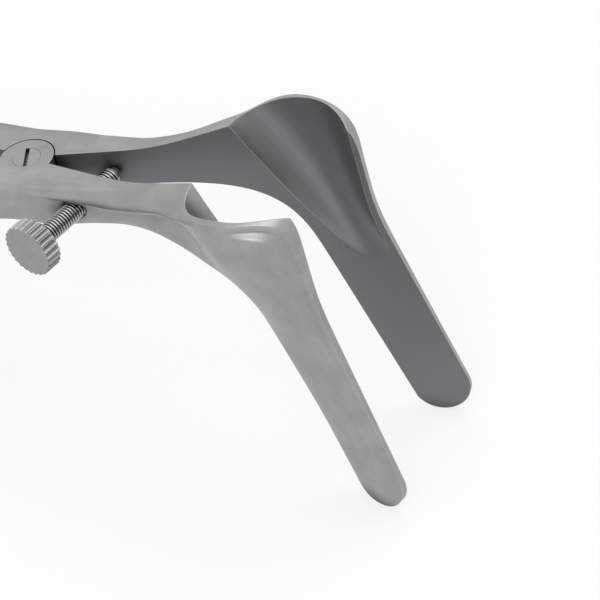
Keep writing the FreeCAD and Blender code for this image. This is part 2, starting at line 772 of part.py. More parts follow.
stem = turned("set_screw_stem", [
    ("0", "Sizes.knob_thickness - Sizes.knob_socket_depth + 0.05"),
    ("Sizes.knob_neck_radius", "Sizes.knob_thickness - Sizes.knob_socket_depth + 0.05"),
    ("Sizes.knob_neck_radius", "Sizes.knob_thickness + 0.05"),
    ("Sizes.screw_radius", "Sizes.knob_thickness + 0.05"),
    ("Sizes.screw_radius", "Sizes.screw_length - 1.5"),
    ("Sizes.screw_tip_radius", "Sizes.screw_length - 1.1"),
    ("Sizes.screw_tip_radius", "Sizes.screw_length - 0.45"),
    ("0.5 * Sizes.screw_tip_radius", "Sizes.screw_length"),
    ("0", "Sizes.screw_length"),
])
screwStance = Placement(knobFace, Rotation(up, screwDirection))
stem.Placement = screwStance

knob = turned("thumb_knob", [
    ("0", "0"),
    ("Sizes.knob_radius - 0.3", "0"),
    ("Sizes.knob_radius", "0.3"),
    ("Sizes.knob_radius", "Sizes.knob_thickness - 0.3"),
    ("Sizes.knob_radius - 0.3", "Sizes.knob_thickness"),
    ("Sizes.knob_neck_radius + Sizes.screw_clearance", "Sizes.knob_thickness"),
    ("Sizes.knob_neck_radius + Sizes.screw_clearance", "Sizes.knob_thickness - Sizes.knob_socket_depth"),
    ("0", "Sizes.knob_thickness - Sizes.knob_socket_depth"),
])
fluteSketch = knob.newObject("Sketcher::SketchObject", "knob_flute_outline")
fluteSketch.AttachmentSupport = [([item for item in knob.Origin.OriginFeatures if item.Role == "XY_Plane"][0], "")]
fluteSketch.MapMode = "FlatFace"
fluteSketch.addGeometry(Part.Circle(Vector(size("knob_radius"), 0, 0), up, size("knob_flute_radius")))
fluteSketch.addConstraint(Sketcher.Constraint("PointOnObject", 0, 3, -1))
fluteReach = fluteSketch.addConstraint(Sketcher.Constraint("DistanceX", -1, 1, 0, 3, size("knob_radius")))
fluteSketch.setExpression("Constraints[%d]" % fluteReach, "Sizes.knob_radius + 0.1")
fluteSize = fluteSketch.addConstraint(Sketcher.Constraint("Radius", 0, size("knob_flute_radius")))
fluteSketch.setExpression("Constraints[%d]" % fluteSize, "Sizes.knob_flute_radius")
doc.recompute()
flute = knob.newObject("PartDesign::Pocket", "knob_flute")
flute.Profile = fluteSketch
flute.Type = "Length"
flute.setExpression("Length", "2 * Sizes.knob_thickness + 2")
flute.Midplane = True
doc.recompute()
flutes = knob.newObject("PartDesign::PolarPattern", "knob_flutes")
flutes.Originals = [flute]
flutes.Axis = ([item for item in knob.Origin.OriginFeatures if item.Role == "Z_Axis"][0], [""])
flutes.Angle = 360
flutes.Occurrences = 26
knob.Tip = flutes
doc.recompute()
knob.Placement = screwStance


# Leaf springs and their screws

def springObject(name, tongue, turn):
    leaf = leafSpring(tongue)
    place = springScrewPlace()
    if tongue:
        leaf = mirrored(leaf)
        place = mirroredPlace(place)
    blankItem = forgingObject(name + "_leaf", leaf)
    hole = rod(name + "_hole", "Sizes.spring_screw_radius + Sizes.seat_clearance", "8",
               place * at(0, 0, -4))
    spring = cutAway(name, blankItem, [hole])
    spring.Label = name
    spring.Placement = Placement(origin, turn)
    screw = turned(name + "_screw", [
        ("0", "0"),
        ("Sizes.spring_screw_radius", "0"),
        ("Sizes.spring_screw_radius", "Sizes.spring_screw_length"),
        ("Sizes.spring_screw_head_radius", "Sizes.spring_screw_length"),
        ("Sizes.spring_screw_head_radius", "Sizes.spring_screw_length + Sizes.spring_screw_head_height - 0.3"),
        ("Sizes.spring_screw_head_radius - 0.3", "Sizes.spring_screw_length + Sizes.spring_screw_head_height"),
        ("0", "Sizes.spring_screw_length + Sizes.spring_screw_head_height"),
    ])
    slotCut(screw, "Sizes.spring_screw_length + Sizes.spring_screw_head_height")
    flip = Placement(Vector(0, 0, size("spring_screw_length")), Rotation(Vector(1, 0, 0), 180))
    screw.Placement = Placement(origin, turn) * place * flip
    return spring, screw


def mirroredPlace(place):
    base = Vector(place.Base.x, -place.Base.y, place.Base.z)
    along = place.Rotation.multVec(up)
    return Placement(base, Rotation(up, Vector(along.x, -along.y, along.z)))


screwArmSpring, screwArmSpringScrew = springObject("screw_arm_spring", True, turnScrewArm)
plainArmSpring, plainArmSpringScrew = springObject("plain_arm_spring", False, turnPlainArm)
doc.recompute()


# Resting pose: the two blade tips and the two handle ends stand on one plane

pieces = [screwArm, plainArm, pivotScrew, stem, knob, screwArmSpring, plainArmSpring, screwArmSpringScrew,
          plainArmSpringScrew]


def lowest(shape, tilt, front):
    """Lowest height of the front or rear half of a shape tilted about Y."""
    turnedShape = shape.copy()
    turnedShape.rotate(origin, Vector(0, 1, 0), tilt)
    half = Part.makeBox(400, 400, 400, Vector(0 if front else -400, -200, -200))
    return turnedShape.common(half).optimalBoundingBox(True).ZMin


def standingTilt(shape):
    """Tilt at which the blade tip and the handle end are equally low."""
    less = -40.0
    more = 0.0
    for step in range(14):
        middle = (less + more) / 2
        if lowest(shape, middle, True) < lowest(shape, middle, False):
            more = middle
        else:
            less = middle
    return (less + more) / 2


tilt = standingTilt(plainArm.Shape)
stand = Placement(origin, Rotation(Vector(0, 1, 0), tilt))
together = Part.makeCompound([piece.Shape for piece in pieces])
together.Placement = stand
box = together.optimalBoundingBox(True)
shift = Vector(-(box.XMin + box.XMax) / 2, -(box.YMin + box.YMax) / 2, -box.ZMin)
stand = Placement(shift, Rotation(Vector(0, 1, 0), tilt))
for piece in pieces:
    piece.Placement = stand * piece.Placement
doc.recompute()

for item in doc.Objects:
    if "Invalid" in item.State or "Error" in item.State:
        raise RuntimeError(item.Name + " did not build")
for piece in pieces:
    if piece.Shape.isNull() or not piece.Shape.isValid():
        raise RuntimeError(piece.Label + " has no valid shape")
for piece in pieces:
    piece.Shape.exportStep("parts/%s.step" % piece.Label)
    print(piece.Label, len(piece.Shape.Solids), round(piece.Shape.Volume, 1))

pivot = stand.multVec(origin)
axis = stand.Rotation.multVec(up)
along = stand.Rotation.multVec(screwDirection)
knobAt = stand.multVec(knobFace)
underside = stand.multVec(turnPlainArm.multVec(Vector(0, 0.7 * size("lug_radius"), -barHeight)))
dome = screwTip - screwDirection * size("screw_tip_radius")
advance = dome * turnPlainArm.multVec(Vector(1, 0, 0)) / (screwDirection * turnPlainArm.multVec(Vector(0, 1, 0)))
print("tilt", round(tilt, 4))
print("pivot", [round(v, 4) for v in pivot], "axis", [round(v, 6) for v in axis])
print("screw", [round(v, 4) for v in knobAt], "along", [round(v, 6) for v in along])
print("underside", [round(v, 4) for v in underside])
print("ratio", round(advance, 5), "mm of set screw travel per radian of opening")
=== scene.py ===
import json
import math

import bmesh
import bpy
import numpy as np
from mathutils import Matrix, Vector


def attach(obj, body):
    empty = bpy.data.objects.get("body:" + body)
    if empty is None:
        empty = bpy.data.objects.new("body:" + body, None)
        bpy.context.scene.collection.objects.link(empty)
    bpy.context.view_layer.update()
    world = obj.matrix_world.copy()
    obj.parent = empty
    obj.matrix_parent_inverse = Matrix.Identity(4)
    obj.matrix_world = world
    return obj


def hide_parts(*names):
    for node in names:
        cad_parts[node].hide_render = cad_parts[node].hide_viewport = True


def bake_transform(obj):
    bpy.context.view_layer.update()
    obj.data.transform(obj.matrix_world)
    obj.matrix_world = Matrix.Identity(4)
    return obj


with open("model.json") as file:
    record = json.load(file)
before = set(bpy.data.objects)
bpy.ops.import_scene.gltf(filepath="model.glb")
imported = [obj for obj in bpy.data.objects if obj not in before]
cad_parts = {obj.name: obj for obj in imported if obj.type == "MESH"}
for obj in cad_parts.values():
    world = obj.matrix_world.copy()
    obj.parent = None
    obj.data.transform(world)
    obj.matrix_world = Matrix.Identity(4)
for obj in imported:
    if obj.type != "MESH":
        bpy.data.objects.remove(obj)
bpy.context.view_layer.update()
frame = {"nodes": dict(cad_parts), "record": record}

# Nasal septum speculum, open, seen from above the set screw

mm = 0.001
joints = {joint["name"]: joint for joint in frame["record"]["behaviour"]["joints"]}
pivotPoint = np.array(joints["arm_pivot"]["pos_m"]) / mm
pivotAxis = np.array(joints["arm_pivot"]["axis"])
pivotFrame = np.array([[pivotAxis[2], 0, -pivotAxis[0]], [0, 1, 0], pivotAxis])  # rows: forwards, across, up
screwStart = np.array(joints["knob_turn"]["pos_m"]) / mm
screwAxis = np.array(joints["knob_turn"]["axis"])
weldDistance = 0.000002  # corners of the solids' meshes nearer than this, in metres, are one corner


# Points in the joint's own axes, in mm, turned and moved to metres in the object's frame
def fromJoint(places):
    return (np.asarray(places) @ pivotFrame + pivotPoint) * mm


# Points about the set screw, their third number along it from the knob's face, to metres in the object's frame
def aroundScrew(places):
    across = np.cross(screwAxis, (0, 0, 1))
    across /= np.linalg.norm(across)
    basis = np.array([across, np.cross(screwAxis, across), screwAxis])
    return (np.asarray(places) @ basis + screwStart) * mm


# Mesh making

# Quads between neighbours of a grid of points: rows run along the piece, columns go round it, and both ends are capped
def roundMesh(name, places):
    rows, columns = places.shape[:2]
    across = np.arange(columns)
    along = np.arange(rows - 1)[:, None]
    first = along * columns + across
    second = along * columns + (across + 1) % columns
    faces = np.stack([first, second, second + columns, first + columns], axis=-1).reshape(-1, 4).tolist()
    faces.append(list(range(columns))[::-1])
    faces.append(list(range((rows - 1) * columns, rows * columns)))
    mesh = bpy.data.meshes.new(name)
    mesh.from_pydata(places.reshape(-1, 3).tolist(), [], faces)
    return finishedPiece(name, mesh)


# Smooth faces with a crisp edge wherever two of them meet at more than the angle
def finishedPiece(name, mesh, angle=38.0):
    mesh.validate()
    mesh.shade_smooth()
    mesh.set_sharp_from_angle(angle=math.radians(angle))
    piece = bpy.data.objects.new(name, mesh)
    bpy.context.scene.collection.objects.link(piece)
    return piece


# A mesh taken over from a solid, shaded by its own faces again
def ownNormals(mesh):
    if "custom_normal" in mesh.attributes:
        mesh.attributes.remove(mesh.attributes["custom_normal"])


# Materials

class Steel:
    # One steel finish: a metal shader, with helpers for the grain, brushing, wear and mottling that feed it

    def __init__(self, name):
        self.material = bpy.data.materials.new(name)
        self.material.use_nodes = True
        self.nodes = self.material.node_tree.nodes
        self.links = self.material.node_tree.links
        self.shader = self.nodes["Principled BSDF"]
        self.shader.inputs["Metallic"].default_value = 1.0
        self.place = self.nodes.new("ShaderNodeTexCoord").outputs["Object"]

    # Each helper takes sockets or plain values and returns the socket of what it made

    def link(self, source, target):
        self.links.new(source, target)

    def vector(self, operation, first, second=None):
        made = self.nodes.new("ShaderNodeVectorMath")
        made.operation = operation
        for place, value in enumerate((first, second)):
            if value is None:
                continue
            if isinstance(value, (tuple, list)):
                made.inputs[place].default_value = value
            else:
                self.link(value, made.inputs[place])
        return made.outputs["Value"] if operation in ("DOT_PRODUCT", "LENGTH") else made.outputs["Vector"]

    def math(self, operation, first, second=0.0):
        made = self.nodes.new("ShaderNodeMath")
        made.operation = operation
        for place, value in enumerate((first, second)):
            if isinstance(value, float):
                made.inputs[place].default_value = value
            else:
                self.link(value, made.inputs[place])
        return made.outputs["Value"]

    # Place drawn out along a direction in the plane of the arms, so that noise on it becomes brush marks:
    # the share along the direction is divided by the stretch, the two shares across it are kept
    def brushed(self, direction, stretch):
        length = math.hypot(*direction)
        forward, rise = direction[0] / length, direction[1] / length
        drawn = self.nodes.new("ShaderNodeCombineXYZ")
        along = self.vector("DOT_PRODUCT", self.place, (forward, 0.0, rise))
        self.link(self.math("DIVIDE", along, stretch), drawn.inputs[0])
        self.link(self.vector("DOT_PRODUCT", self.place, (-rise, 0.0, forward)), drawn.inputs[1])
        self.link(self.vector("DOT_PRODUCT", self.place, (0.0, 1.0, 0.0)), drawn.inputs[2])
        return drawn.outputs["Vector"]

    def noise(self, place, scale, detail=3.0, roughness=0.5):
        made = self.nodes.new("ShaderNodeTexNoise")
        made.inputs["Scale"].default_value = scale
        made.inputs["Detail"].default_value = detail
        made.inputs["Roughness"].default_value = roughness
        self.link(place, made.inputs["Vector"])
        return made.outputs["Fac"]

    # From low to high while the value goes from start to stop
    def ramped(self, value, low, high, start=0.3, stop=0.7):
        made = self.nodes.new("ShaderNodeMapRange")
        made.inputs["From Min"].default_value = start
        made.inputs["From Max"].default_value = stop
        made.inputs["To Min"].default_value = low
        made.inputs["To Max"].default_value = high
        self.link(value, made.inputs["Value"])
        return made.outputs["Result"]

    def mixed(self, amount, first, second):
        made = self.nodes.new("ShaderNodeMix")
        made.data_type = "RGBA"
        self.link(amount, made.inputs["Factor"])
        for socket, value in ((made.inputs[6], first), (made.inputs[7], second)):
            if isinstance(value, tuple):
                socket.default_value = value
            else:
                self.link(value, socket)
        return made.outputs[2]

    def blended(self, amount, first, second):
        made = self.nodes.new("ShaderNodeMix")
        made.data_type = "FLOAT"
        self.link(amount, made.inputs["Factor"])
        for socket, value in ((made.inputs[2], first), (made.inputs[3], second)):
            if isinstance(value, float):
                socket.default_value = value
            else:
                self.link(value, socket)
        return made.outputs[0]

    def bumped(self, height, strength, distance, normal):
        made = self.nodes.new("ShaderNodeBump")
        made.inputs["Strength"].default_value = strength
        made.inputs["Distance"].default_value = distance
        self.link(height, made.inputs["Height"])
        self.link(normal, made.inputs["Normal"])
        return made.outputs["Normal"]

    # Normal of rounded edges, and how far it leans from the face's own normal: 1 on a worn edge, 0 on a plain face
    def wornEdges(self, radius):
        bevel = self.nodes.new("ShaderNodeBevel")
        bevel.samples = 6
        bevel.inputs["Radius"].default_value = radius
        face = self.nodes.new("ShaderNodeNewGeometry").outputs["Normal"]
        lean = self.vector("DOT_PRODUCT", bevel.outputs["Normal"], face)
        return bevel.outputs["Normal"], self.ramped(lean, 1.0, 0.0, 0.90, 0.995)

    # How open a place is, by ambient occlusion: 0 at the bottom of a slot or thread root, 1 on an open face; where it
    # is low, shade is painted into the colour
    def openness(self, reach, fullyShaded, unshaded):
        shade = self.nodes.new("ShaderNodeAmbientOcclusion")
        shade.samples = 8
        shade.inputs["Distance"].default_value = reach
        return self.ramped(shade.outputs["AO"], 0.0, 1.0, fullyShaded, unshaded)


satinFinish = {
    "light": (0.385, 0.383, 0.372, 1),
    "dark": (0.305, 0.308, 0.306, 1),
    "worn": (0.52, 0.52, 0.51, 1),
    # Colour of the faces turned towards the other arm: painted shade, for the dimmer light that falls on them
    "inner": (0.184, 0.189, 0.194, 1),
    # The near-black colour that slots, thread roots, flutes and gaps between parts are darkened towards: painted shade
    "paintedShade": (0.075, 0.073, 0.068, 1),
    "paintedShadeReach": 0.0011,
    "paintedShadeRange": (0.25, 0.80),
    "roughness": (0.34, 0.46),
    "innerRoughness": 0.52,
    "innerShadeShare": 0.9,
    "wornRoughness": 0.26,
    "wornShare": 0.7,
    "cloudScale": 170.0,
    "cloudShare": 0.72,
    "shadeRange": (0.38, 0.64),
    "handleBrush": (0.96, 0.27),
    "bladeBrush": (0.44, -0.90),
    "bladeFrom": (0.034, 0.046),
    "brushStretch": 14.0,
    "brushScale": 1500.0,
    "brushShare": 0.28,
    "grainScale": 4800.0,
    "grainStrength": 0.55,
    "grainHeight": 0.000010,
    "edgeRadius": 0.00022,
}


# Glass-beaded steel: cloudy mottling, brush marks along the piece, a fine pitted grain and polished, worn edges, with
# painted shade in its hollows and, where asked, on its inner faces.
# Its shade is the clouds and the marks, each times its share; turned steel adds a sine of the distance from its axis
def satinSteel(name, finish, turned=None, innerFaces=None):
    steel = Steel(name)
    normal, worn = steel.wornEdges(finish["edgeRadius"])
    clouds = steel.noise(steel.place, finish["cloudScale"], 4.0, 0.6)
    handlePlace = steel.brushed(finish["handleBrush"], finish["brushStretch"])
    handleMarks = steel.noise(handlePlace, finish["brushScale"], 3.0, 0.6)
    bladePlace = steel.brushed(finish["bladeBrush"], finish["brushStretch"])
    bladeMarks = steel.noise(bladePlace, finish["brushScale"], 3.0, 0.6)
    forwards = steel.vector("DOT_PRODUCT", steel.place, (1.0, 0.0, 0.0))
    marks = steel.blended(steel.ramped(forwards, 0.0, 1.0, *finish["bladeFrom"]), handleMarks, bladeMarks)
    shade = steel.math("ADD", steel.math("MULTIPLY", clouds, finish["cloudShare"]),
                       steel.math("MULTIPLY", marks, finish["brushShare"]))
    base = steel.mixed(steel.ramped(shade, 0.0, 1.0, *finish["shadeRange"]), finish["dark"], finish["light"])
    rough = steel.ramped(marks, *finish["roughness"])
    # Painted shade: faces turned towards the other arm are mixed towards a darker colour, and made rougher
    if innerFaces:
        inner = steel.nodes.new("ShaderNodeAttribute")
        inner.attribute_name = innerFaces
        base = steel.mixed(steel.math("MULTIPLY", inner.outputs["Fac"], finish["innerShadeShare"]), base, finish["inner"])
        rough = steel.blended(inner.outputs["Fac"], rough, finish["innerRoughness"])
    base = steel.mixed(steel.math("MULTIPLY", worn, finish["wornShare"]), base, finish["worn"])
    # Painted shade: where the ambient occlusion is low, in slots, thread roots and gaps, the colour is darkened towards
    # a near-black
    unshaded = steel.openness(finish["paintedShadeReach"], *finish["paintedShadeRange"])
    steel.link(steel.mixed(unshaded, finish["paintedShade"], base), steel.shader.inputs["Base Color"])
    steel.link(steel.blended(worn, rough, finish["wornRoughness"]), steel.shader.inputs["Roughness"])
    grain = steel.noise(steel.place, finish["grainScale"], 2.0, 0.6)
    normal = steel.bumped(grain, finish["grainStrength"], finish["grainHeight"], normal)
    if turned:
        centre, axis = turned
        fromCentre = steel.vector("SUBTRACT", steel.place, centre)
        radius = steel.vector("LENGTH", steel.vector("CROSS_PRODUCT", fromCentre, axis))
        rings = steel.math("SINE", steel.math("MULTIPLY", radius, 2 * math.pi / finish["ringSpacing"]))
        normal = steel.bumped(rings, finish["ringStrength"], finish["ringHeight"], normal)
    steel.link(normal, steel.shader.inputs["Normal"])
    return steel.material


# A place or a direction as the plain numbers that a shader's sockets take, each times the scale
def plain(values, scale=1.0):
    return tuple(float(value) * scale for value in values)


turnedFinish = {
    **satinFinish,
    "roughness": (0.30, 0.38),
    "edgeRadius": 0.00009,
    "ringSpacing": 0.00024,
    "ringStrength": 0.35,
    "ringHeight": 0.000004,
}
armFinish = {
    **satinFinish,
    "edgeRadius": 0.00016,
    # A longer reach, so that painted shade darkens the gap at the joint, the cove under the ledge and the set screw's
    # hole
    "paintedShadeReach": 0.0028,
    "paintedShadeRange": (0.38, 0.94),
}
springFinish = {
    **satinFinish,
    "light": (0.36, 0.365, 0.37, 1),
    "dark": (0.30, 0.305, 0.31, 1),
    "roughness": (0.24, 0.34),
    "edgeRadius": 0.00010,
}
threadFinish = {
    **turnedFinish,
    "light": (0.50, 0.495, 0.47, 1),
    "dark": (0.42, 0.415, 0.39, 1),
    "roughness": (0.22, 0.30),
    "edgeRadius": 0.00003,
}
knobFinish = {
    **turnedFinish,
    "light": (0.345, 0.342, 0.332, 1),
    "dark": (0.285, 0.285, 0.278, 1),
    "edgeRadius": 0.00006,
}
forgedSteel = satinSteel("satinForgedSteel", satinFinish)
armSteel = satinSteel("satinArmSteel", armFinish, innerFaces="innerFace")
# A longer reach, so that painted shade darkens the slot in the screw's head
pivotSteel = satinSteel("turnedPivotSteel", {**turnedFinish, "paintedShadeReach": 0.003},
                        (plain(pivotPoint, mm), plain(pivotAxis)))
screwSteel = satinSteel("turnedScrewSteel", turnedFinish)
springSteel = satinSteel("groundSpringSteel", springFinish)
threadSteel = satinSteel("cutThreadSteel", threadFinish)
knobSteel = satinSteel("knurledKnobSteel", knobFinish, (plain(screwStart, mm), plain(screwAxis)))

nodeFinish = {
    "screw_arm": forgedSteel,
    "plain_arm": forgedSteel,
    "pivot_screw": pivotSteel,
    "screw_arm_spring_screw": screwSteel,
    "plain_arm_spring_screw": screwSteel,
    "screw_arm_spring": springSteel,
    "plain_arm_spring": springSteel,
    "set_screw_stem": threadSteel,
    "thumb_knob": knobSteel,
}
for nodeName, material in nodeFinish.items():
    for slot in frame["nodes"][nodeName].material_slots:
        slot.material = material
print("steel finishes on the forged arms, springs and screws")

# Forged arms: one smooth surface from handle end to blade tip, drawn towards rows of control points, then carved.
# Sizes are in mm and angles in degrees. Handle faces: place along, near face and far face, from the mating plane

arm = {
    "halfOpening": 12.0,
    "barHeight": 6.15,
    "barWidth": 5.85,
    "lugRadius": 4.05,
    "lugClearance": 0.2,
    "lapGap": 0.05,
    "skin": 0.004,
    "seatRadius": 2.15,
    "seatDepth": 1.35,
    "shankHole": 1.5,
    "screwReach": 11.37,
    "screwDrop": 3.5,
    "screwLean": 4.8,
    "screwHole": 1.6,
    "slotTurn": 99.0,
    "slotCrease": 30.0,
    "handleReach": 82.0,
    "handleTop": 2.4,
    "handleBottom": 12.5,
    "handleEnd": 3.4,
    "handleFaces": ((-82.0, 27.45, 30.95), (-81.6, 27.41, 30.91), (-80.6, 27.31, 30.8), (-78.4, 27.07, 30.55),
                    (-73.5, 26.51, 29.96), (-63.96, 25.19, 28.62), (-54.94, 23.44, 26.9), (-45.92, 20.73, 24.28),
                    (-37.72, 17.55, 21.23), (-29.52, 14.43, 18.3), (-22.14, 11.44, 15.56), (-15.99, 8.56, 12.97),
                    (-11.5, 6.22, 11.3), (-8.0, 4.35, 10.0), (-5.2, 2.75, 9.1), (-2.4, 1.26, 8.2), (0.3, 0.15, 7.2)),
    "grooveRadius": 0.6,
    "grooveDepth": 0.35,
    "groovePitch": 2.2,
    "grooveShares": (0.54, 0.93),
    "neckReach": 49.15,
    "neckRise": 4.3,
    "neckStart": 3.0,
    "web": 2.0,
    "ledge": 4.25,
    "coveRun": 1.3,
    "heel": 3.5,
    "heelStart": 18.0,
    "heelEndReach": 39.85,
    "heelEndDrop": 19.0,
    "bladeDrop": 49.6,
    "frontLean": 12.0,
    "frontBreak": 14.0,
    "backLean": 15.0,
    "bladeEdge": 1.3,
    "tip": 0.85,
    "tipCrown": 0.45,
    "scoopDepth": 6.05,
    "scoopWall": 1.5,
    "scoopRim": 0.7,
    "scoopWidth": 17.9,
    "scoopLength": 27.5,
    "scoopDepths": ((-0.1, 1.0), (0.1, 0.98), (0.3, 0.83), (0.5, 0.62), (0.7, 0.36), (0.9, 0.08), (1.0, -0.06)),
    "scoopRows": (-0.15, -0.03, 0.06, 0.16, 0.28, 0.40, 0.52, 0.64, 0.76, 0.88, 1.0),
    "shellBehind": 1.6,
    "shellSquareness": 2.4,
    "shellRounding": (0.4, 0.7),
    "stepsAlong": 9,
    "stepsAcross": 9,
    "innerSteps": 18,
}
frontSlope = math.tan(math.radians(arm["frontLean"]))
backSlope = math.tan(math.radians(arm["backLean"]))
shoulder = arm["scoopDepth"] + arm["scoopWall"]
faceX, faceInner, faceOuter = (list(column) for column in zip(*arm["handleFaces"]))


# Ease from 0 to 1: three times the square less twice the cube
def eased(share):
    share = np.clip(share, 0.0, 1.0)
    return share * share * (3 - 2 * share)


# Weights of a clamped cubic: each span's weights are the two lower ones, each times its share of the span
def cubicWeights(count, places):
    spans = count - 3
    knots = np.concatenate([[0, 0, 0], np.arange(spans + 1), [spans, spans, spans]]).astype(float)
    here = np.clip(np.asarray(places, float), 0, spans - 1e-9)[:, None]
    weights = ((here >= knots[:-1]) & (here < knots[1:])).astype(float)
    for degree in (1, 2, 3):
        start, stop = knots[:-degree - 1], knots[degree + 1:]
        rise, fall = knots[degree:-1] - start, stop - knots[1:-degree]
        rising = np.where(rise > 0, (here - start) / np.where(rise > 0, rise, 1), 0)
        falling = np.where(fall > 0, (stop - here) / np.where(fall > 0, fall, 1), 0)
        weights = rising * weights[:, :-1] + falling * weights[:, 1:]
    return weights


# Top edge of the neck: its rise times an ease from the heel's start to 10 mm short of the front
def topEdge(x):
    start = arm["heelStart"] - 3.0
    return arm["neckRise"] * float(eased((x - start) / (arm["neckReach"] - 10.0 - start)))


# Front edge: upright, then leaning forwards by the slope times the drop under the break
def frontEdge(z):
    return arm["neckReach"] + frontSlope * max(0.0, -arm["frontBreak"] - z)


# Back edge: a straight line from the heel's end, at its own slope
def backEdge(z):
    return arm["heelEndReach"] + backSlope * (-arm["heelEndDrop"] - z)


# Underside of the bend: a cubic Bezier from the bar's underside to the blade's back edge
def heelPlace(t):
    end = np.array([arm["heelEndReach"], -arm["heelEndDrop"]])
    poles = np.array([[arm["heelStart"], -arm["barHeight"]], [end[0] - 6.85, -arm["barHeight"] - 0.25],
                      end + np.array([-backSlope, 1]) * arm["heelEndDrop"] * 0.46, end])
    return np.array([(1 - t) ** 3, 3 * t * (1 - t) ** 2, 3 * t * t * (1 - t), t ** 3]) @ poles


# Rear edge of the channel: its width in front of the rim, times a share that falls as it runs down the blade
def scoopBack(z):
    length = arm["scoopLength"]
    share = np.interp(arm["neckRise"] - z, [-4.0, 0.0, 0.14 * length, 0.5 * length, 0.9 * length, length],
                      [1.12, 1.0, 0.90, 0.62, 0.27, 0.16])
    return arm["neckReach"] - arm["scoopRim"] - arm["scoopWidth"] * float(share)


# Front edge of the channel: the rim's width behind the blade's front edge
def scoopFront(z):
    return frontEdge(z) - arm["scoopRim"]


# Depth of the channel: its greatest depth times a share read off its length
def scoopDeep(z):
    run, share = zip(*arm["scoopDepths"])
    return arm["scoopDepth"] * float(np.interp((arm["neckRise"] - z) / arm["scoopLength"], run, share))


# Wall behind the channel: the channel's depth and the wall, times a rounded bell across it
def shellHeight(x, z):
    deep = scoopDeep(z)
    behind = arm["shellBehind"] * arm["scoopWall"]
    half = (scoopFront(z) - scoopBack(z) + behind + arm["scoopWall"]) / 2
    across = (x - scoopBack(z) + behind - half) / half
    room = 1 - abs(across) ** arm["shellSquareness"]
    if deep <= 0 or room <= 0:
        return 0.0
    backRounding, frontRounding = arm["shellRounding"]
    return (deep + arm["scoopWall"]) * room ** (backRounding if across < 0 else frontRounding)


# Stations are pairs of points, on the back or lower edge and on the front or upper edge

# Handle: top and bottom eased apart from 8 mm behind the pivot, both drawn in over the rounded end
def handleStation(x):
    start = 8.0
    past = max(0.0, -x - arm["handleReach"] + arm["handleEnd"]) / arm["handleEnd"]
    top = -arm["handleTop"] * float(eased((-x - start) / (arm["handleReach"] - start)))
    deeper = arm["handleBottom"] - arm["barHeight"]
    bottom = -arm["barHeight"] - deeper * float(eased((-x - start) / (arm["handleReach"] * 0.9 - start)))
    half = (top - bottom) / 2 * (1 - 0.8 * past ** 2.4)
    return np.array([x, (top + bottom) / 2 - half]), np.array([x, (top + bottom) / 2 + half])


# Neck: the bar's underside, eased down by 0.5 mm over 12 mm, to the top edge
def neckStation(x):
    under = -arm["barHeight"] - 0.5 * float(eased((x - arm["heelStart"]) / 12.0))
    return np.array([x, under]), np.array([x, topEdge(x)])


# Bend: from a place on the underside's curve to the top edge, to the shoulder's corner or to the blade's front edge
def topStation(t, x):
    return heelPlace(t), np.array([x, topEdge(x)])


def rimStation(t, behind, below):
    return heelPlace(t), np.array([arm["neckReach"] - behind, arm["neckRise"] - below])


def bladeStation(backZ, frontZ):
    return np.array([backEdge(backZ), backZ]), np.array([frontEdge(frontZ), frontZ])


